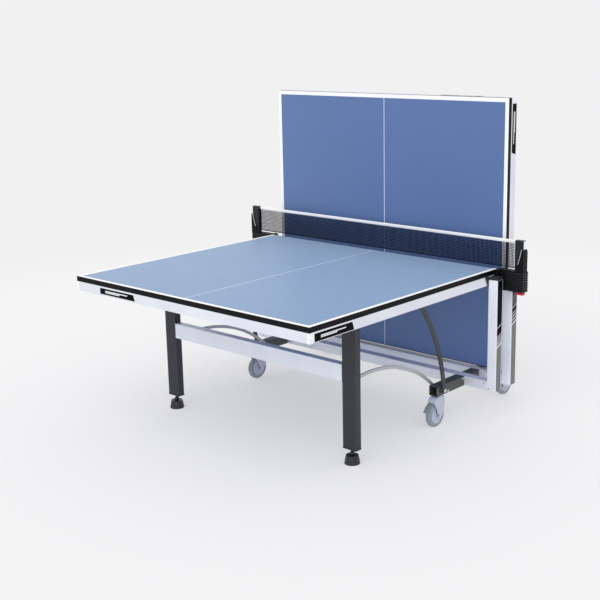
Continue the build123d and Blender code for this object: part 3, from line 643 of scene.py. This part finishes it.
def post_highlight(word):
    """Painted highlights on a net post: a light strip on its outer face for the reflection on the glossy
    post, and a sloping light line below it for the socket's front edge catching light.
    """
    side = SIDES[word]
    _, housing_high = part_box("net_housing_" + word)
    post_low, post_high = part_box("net_post_" + word)
    _, outer = distances("net_post_" + word)
    margin_x, margin_z, sunk, thick = 3 * MM, 2 * MM, 0.2 * MM, 0.5 * MM
    left, right = post_low.x + margin_x, post_high.x - margin_x
    bottom, top = housing_high.z + margin_z, post_high.z - margin_z
    # Painted reflection: a light strip laid on the dark post's outer face.
    highlight_strip = [(left, bottom), (right, bottom), (right, top), (left, top)]
    shape = bmesh.new()
    add_prism(shape, highlight_strip, lambda x, z, raised: Vector((x, side * (outer - sunk + thick * raised), z)))

    # Painted highlight: a thin sloping light line along the socket's front edge, standing for that edge
    # catching light.
    line, upper_y, lower_y = 2.0 * MM, outer - 5 * MM, outer - 24 * MM
    upper_z, lower_z = housing_high.z + 1 * MM, housing_high.z - 72 * MM
    back, front = post_low.x - 4 * MM, -24.6 * MM
    slope = [(upper_y, upper_z), (upper_y - line, upper_z), (lower_y - line, lower_z), (lower_y, lower_z)]
    add_prism(shape, slope, lambda y, z, raised: Vector((front if raised else back, side * y, z)))
    finish_piece("post_highlight_" + word, shape, finishes["column_silver"], "chassis",
                 edges=0.15 * MM)


def release_button(word):
    """Red button below a net housing, longer than its CAD solid and with an inset end."""
    low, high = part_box("release_button_" + word)
    low.z -= 8 * MM
    shape = bmesh.new()
    add_block(shape, low, high)
    bottom = [face for face in shape.faces if face.calc_center_median().z < low.z + 1 * MM]
    bmesh.ops.inset_region(shape, faces=bottom, thickness=4 * MM, depth=1.2 * MM)
    button = finish_piece("button_" + word, shape, finishes["button_red"], "button_" + word,
                          edges=2.5 * MM)
    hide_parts("release_button_" + word)


# ---------------------------------------------------------------- casters
# Outlines in millimetres from the wheel's centre. The hood's are (out, below its top) for the crown
# and (out, up) for the heel and the curved mouth; the rest are (radius, distance along the axis).
HOOD_CROWN = ((-52.5, 12), (-49, 4), (-43, 0), (6, 0), (18, 4), (25, 11), (29.5, 22))
HOOD_HEEL = (-52.5, 48)
HOOD_MOUTH = ((22, 47), (13, 36), (7.5, 23), (4.5, 9), (2, -6), (-3, -16), (-11, -20), (-21, -17), (-32, -8),
              (-42, 6), (-49, 22))
COLLAR = ((0, -3), (21, -3), (21, 2.6), (19.5, 3.8), (6, 3.8))  # the axis starts at the hood's top
AXLE_CAP = ((0, -1), (6.5, -1), (6.5, 2), (5, 3.2), (0, 3.6))  # the axis starts at the hood's side
TYRE_SIDE = ((43, 12.6), (47, 13.6), (53, 14.1), (58, 12.8), (61.2, 9.0))
HUB_SIDE = ((0, 12.5), (8.5, 12.5), (10, 11.5), (12, 8.2), (34, 7.4), (37.5, 11.4), (42.9, 12.9))
SPOKE = ((9, -2.4), (36.5, -1.6), (36.5, 1.6), (9, 2.4))  # (radius, sideways)


def mirrored(profile):
    """Profile of one side of a wheel, followed by the other side's."""
    return profile + [(radius, -across) for radius, across in reversed(profile)]


def caster_hood(tag, place, arc_r, half_width, top, stem_top):
    """Moulded hood with a curved cut-out over the wheel, under a collar and a stem."""
    plate, swivel_out, stem_r = 4 * MM, -23 * MM, 6 * MM
    crown = [(out * MM, top - below * MM) for out, below in HOOD_CROWN]
    arc = [(arc_r * cos(radians(angle)), arc_r * sin(radians(angle))) for angle in range(64, 141, 9)]
    shape = bmesh.new()
    for side in (-1, 1):
        add_prism(shape, crown + in_mm(HOOD_MOUTH),
                  lambda out, up, outer: place(out, up, side * (half_width - (0 if outer else plate))))
    add_prism(shape, in_mm([HOOD_HEEL]) + crown + arc,
              lambda out, up, outer: place(out, up, (half_width - plate) * (2 * outer - 1)))
    collar = [(radius * MM, top + above * MM) for radius, above in COLLAR]
    stem = [(stem_r, stem_top), (0, stem_top)]
    add_lathe(shape, collar + stem, lambda out, across, up: place(swivel_out + out, up, across))
    hood = finish_piece("caster_hood_" + tag, shape, finishes["caster_grey"], "caster_" + tag,
                        edges=1.1 * MM, sharp=30)
    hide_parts("caster_fork_" + tag)


def axle_caps(tag, place, half_width):
    """Domed cap on each end of the axle."""
    cap = [(radius * MM, half_width + out * MM) for radius, out in AXLE_CAP]
    shape = bmesh.new()
    for side in (-1, 1):
        add_lathe(shape, cap, lambda out, up, across: place(out, up, side * across), 24)
    finish_piece("axle_caps_" + tag, shape, finishes["pedal_grey"], "caster_" + tag)


def wheel(tag, place, wheel_r):
    """Crowned tyre on a dished hub with spokes."""
    tread, segments = 3.5 * MM, 72
    shape = bmesh.new()
    add_lathe(shape, mirrored(in_mm(TYRE_SIDE) + [(wheel_r, tread)]), place, segments, ring=True)
    tyre = finish_piece("tyre_" + tag, shape, finishes["tyre_grey"], "wheel_" + tag)
    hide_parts("caster_wheel_" + tag)

    spokes, spoke_in, spoke_out = 5, 7 * MM, 10.4 * MM
    shape = bmesh.new()
    add_lathe(shape, mirrored(in_mm(HUB_SIDE)), place, segments)
    for turn in range(spokes):
        angle = 2 * pi * turn / spokes
        for side in (-1, 1):
            add_prism(shape, in_mm(SPOKE), lambda reach, wide, outer: place(
                reach * cos(angle) - wide * sin(angle), reach * sin(angle) + wide * cos(angle),
                side * (spoke_out if outer else spoke_in)))
    finish_piece("hub_" + tag, shape, finishes["caster_grey"], "wheel_" + tag, sharp=30)


def caster(end, word):
    """One caster, drawn around its wheel's centre."""
    tag = f"{end}_{word}"
    wheel_low, wheel_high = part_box("caster_wheel_" + tag)
    fork_low, fork_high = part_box("caster_fork_" + tag)
    beam_low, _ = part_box("side_beam_" + word)
    middle = (wheel_low + wheel_high) / 2
    wheel_r = (wheel_high.x - wheel_low.x) / 2
    half_width = (fork_high.y - fork_low.y) / 2
    wheel_gap, beam_gap = 3.5 * MM, 4 * MM

    def place(out, up, across):
        """Point given outwards and upwards from the wheel's centre, and across it."""
        return Vector((middle.x + ENDS[end] * out, middle.y + across, middle.z + up))

    caster_hood(tag, place, wheel_r + wheel_gap, half_width, beam_low.z - beam_gap - middle.z,
                fork_high.z - middle.z)
    axle_caps(tag, place, half_width)
    wheel(tag, place, wheel_r)


# ---------------------------------------------------------------- build
for node in nodes.values():
    slot = node.material_slots[0]
    slot.material = finishes[slot.material.name.split(".")[0]]

for end, place in (("near", near_place), ("far", far_place)):
    court_lines(end, place)
    corner_caps(end, place)
    all_badges(end, place)
    soften_node("edge_frame_" + end, 1.0 * MM)
    soften_node("apron_" + end, 1.0 * MM)
    soften_node("leg_crossbar_" + end, 2.0 * MM)
    soften_node("chassis_crossbar_" + end, 2.0 * MM)
    for word in SIDES:
        soften_node(f"column_{end}_{word}", 2.0 * MM)
        column_panel(end, word)
        soften_node(f"arm_{end}_{word}", 3.0 * MM, 3)
        soften_node(f"link_{end}_{word}", 1.8 * MM, 3)
        soften_node(f"foot_{end}_{word}", 2.0 * MM, 3, 30)
        caster(end, word)
for word in ("near_right", "far_left"):
    soften_node("brake_pedal_" + word, 2.5 * MM, 3)
for word in SIDES:
    soften_node("side_beam_" + word, 2.5 * MM)
    soften_node("net_housing_" + word, 0.8 * MM)
    soften_node("net_post_" + word, 1.2 * MM)
    housing_cheek(word)
    housing_ridges(word)
    post_highlight(word)
    release_button(word)
net()
tape()
tape_stitches()


# ---------------------------------------------------------------- stage
def direction(azimuth, height):
    """Unit vector at an azimuth (0 is +X, 90 is +Y) and a height, in degrees."""
    level = cos(radians(height))
    return Vector((cos(radians(azimuth)) * level, sin(radians(azimuth)) * level, sin(radians(height))))


def floor(colour, glow):
    """Pale floor that fades into the background away from the table."""
    radius, clear, gone = 9.0, 3.2, 4.5
    shape = bmesh.new()
    bmesh.ops.create_circle(shape, cap_ends=True, segments=128, radius=radius)
    mesh = bpy.data.meshes.new("studio_floor")
    shape.to_mesh(mesh)
    shape.free()
    surface = Surface("studio_floor", Roughness=0.9, Specular_IOR_Level=0.1, Emission_Color=glow,
                      Emission_Strength=1.0)
    surface.colour(surface.drifting(surface.noise(3.0), colour, shaded(colour, 1.005)))
    distance = surface.add("ShaderNodeVectorMath", operation="LENGTH")
    surface.link(surface.place, distance.inputs[0])
    unseen = surface.add("ShaderNodeBsdfTransparent")
    mix = surface.add("ShaderNodeMixShader")
    surface.link(surface.ranged(distance.outputs["Value"], clear, gone, 0.0, 1.0), mix.inputs["Fac"])
    surface.link(surface.shader.outputs["BSDF"], mix.inputs[1])
    surface.link(unseen.outputs["BSDF"], mix.inputs[2])
    surface.link(mix.outputs["Shader"], surface.tree.nodes["Material Output"].inputs["Surface"])
    mesh.materials.append(surface.material)
    add_object("studio_floor", mesh)


def studio(background, light):
    """Even pale surroundings: one colour to look at, and a white one that lights the table."""
    world = bpy.data.worlds.new("studio")
    bpy.context.scene.world = world
    world.use_nodes = True
    tree = world.node_tree
    tree.nodes.clear()
    seen = tree.nodes.new("ShaderNodeBackground")
    seen.inputs["Color"].default_value = background
    lit = tree.nodes.new("ShaderNodeBackground")
    lit.inputs["Color"].default_value = (1.0, 1.0, 1.0, 1.0)
    lit.inputs["Strength"].default_value = light
    ray = tree.nodes.new("ShaderNodeLightPath")
    mix = tree.nodes.new("ShaderNodeMixShader")
    output = tree.nodes.new("ShaderNodeOutputWorld")
    tree.links.new(ray.outputs["Is Camera Ray"], mix.inputs["Fac"])
    tree.links.new(lit.outputs["Background"], mix.inputs[1])
    tree.links.new(seen.outputs["Background"], mix.inputs[2])
    tree.links.new(mix.outputs["Shader"], output.inputs["Surface"])


def sun(name, strength, width, azimuth, height):
    """Broad soft light from an azimuth and a height, in degrees."""
    data = bpy.data.lights.new(name, "SUN")
    data.energy = strength
    data.angle = radians(width)
    lamp = add_object(name, data)
    lamp.rotation_mode = "QUATERNION"
    lamp.rotation_quaternion = direction(azimuth, height).to_track_quat("Z", "Y")


def camera():
    """View over the near right corner, a little above the folded half."""
    yaw, pitch, roll = 40.733, -13.046, -0.735
    focal, sensor = 64.19, 36.0
    data = bpy.data.cameras.new("camera")
    data.lens = focal
    data.sensor_width = sensor
    data.shift_x, data.shift_y = -0.0714, -0.0308
    eye = add_object("camera", data)
    eye.location = (-4.3675, -3.5217, 1.8886)
    eye.rotation_mode = "QUATERNION"
    rolled = Matrix.Rotation(radians(roll), 3, "Z").to_quaternion()
    eye.rotation_quaternion = direction(yaw, pitch).to_track_quat("-Z", "Y") @ rolled
    bpy.context.scene.camera = eye


floor(colour=srgb(172, 172, 173), glow=srgb(178, 178, 179))
studio(background=srgb(241, 241, 242), light=0.84)
sun("key", strength=1.3, width=70, azimuth=207, height=44)
camera()
bpy.context.scene.view_settings.view_transform = "Standard"
